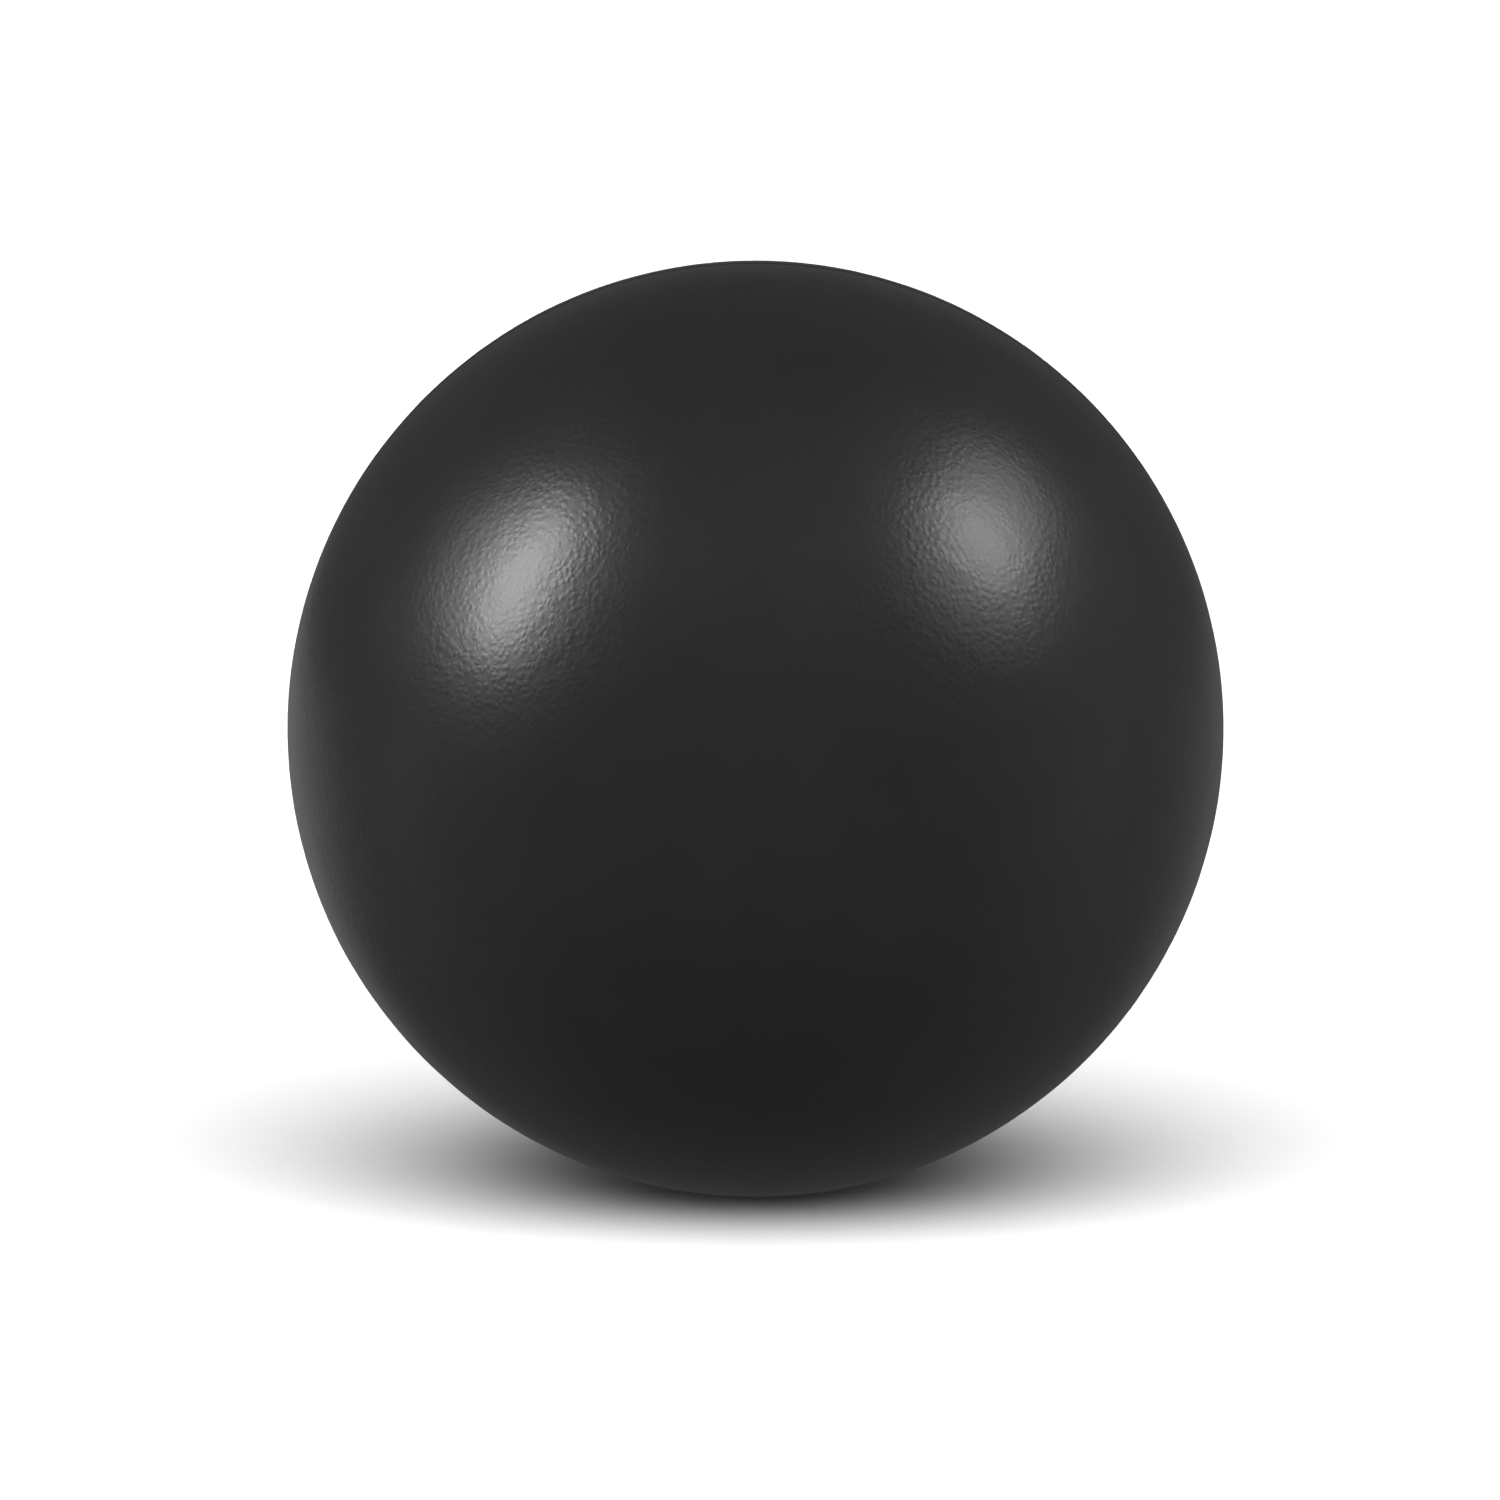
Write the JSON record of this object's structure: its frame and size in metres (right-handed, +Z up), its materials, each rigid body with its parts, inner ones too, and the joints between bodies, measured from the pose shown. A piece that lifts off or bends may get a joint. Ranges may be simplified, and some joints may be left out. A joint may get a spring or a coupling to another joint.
{
  "type": "case opening friction ball",
  "caption": "Hollow inflated rubber ball, pressed by hand on a screwed watch case back to grip and unscrew it, with a self-sealing needle valve.",
  "frame": {"origin": "centre of the ball", "axes": "+Z up; +Y along the valve from the centre outwards, so the plain side faces -Y; +X to the right as seen facing the plain side. The joint between the half covers lies in the XZ plane."},
  "size_m": [0.065, 0.0646, 0.065],
  "materials": {
    "cover_rubber": "satin",
    "bladder_rubber": "matte",
    "housing_rubber": "matte",
    "core_rubber": "satin"
  },
  "bodies": {
    "ball": {"cover_half_plain": "cover_rubber", "cover_half_valve": "cover_rubber", "bladder": "bladder_rubber", "valve_housing": "housing_rubber"},
    "valve_core": {"valve_core": "core_rubber"}
  },
  "joints": [
    {"name": "valve_core_pull", "type": "slide", "parent": "ball", "child": "valve_core", "axis": [0, 1, 0], "range_m": [0, 0.018]}
  ]
}
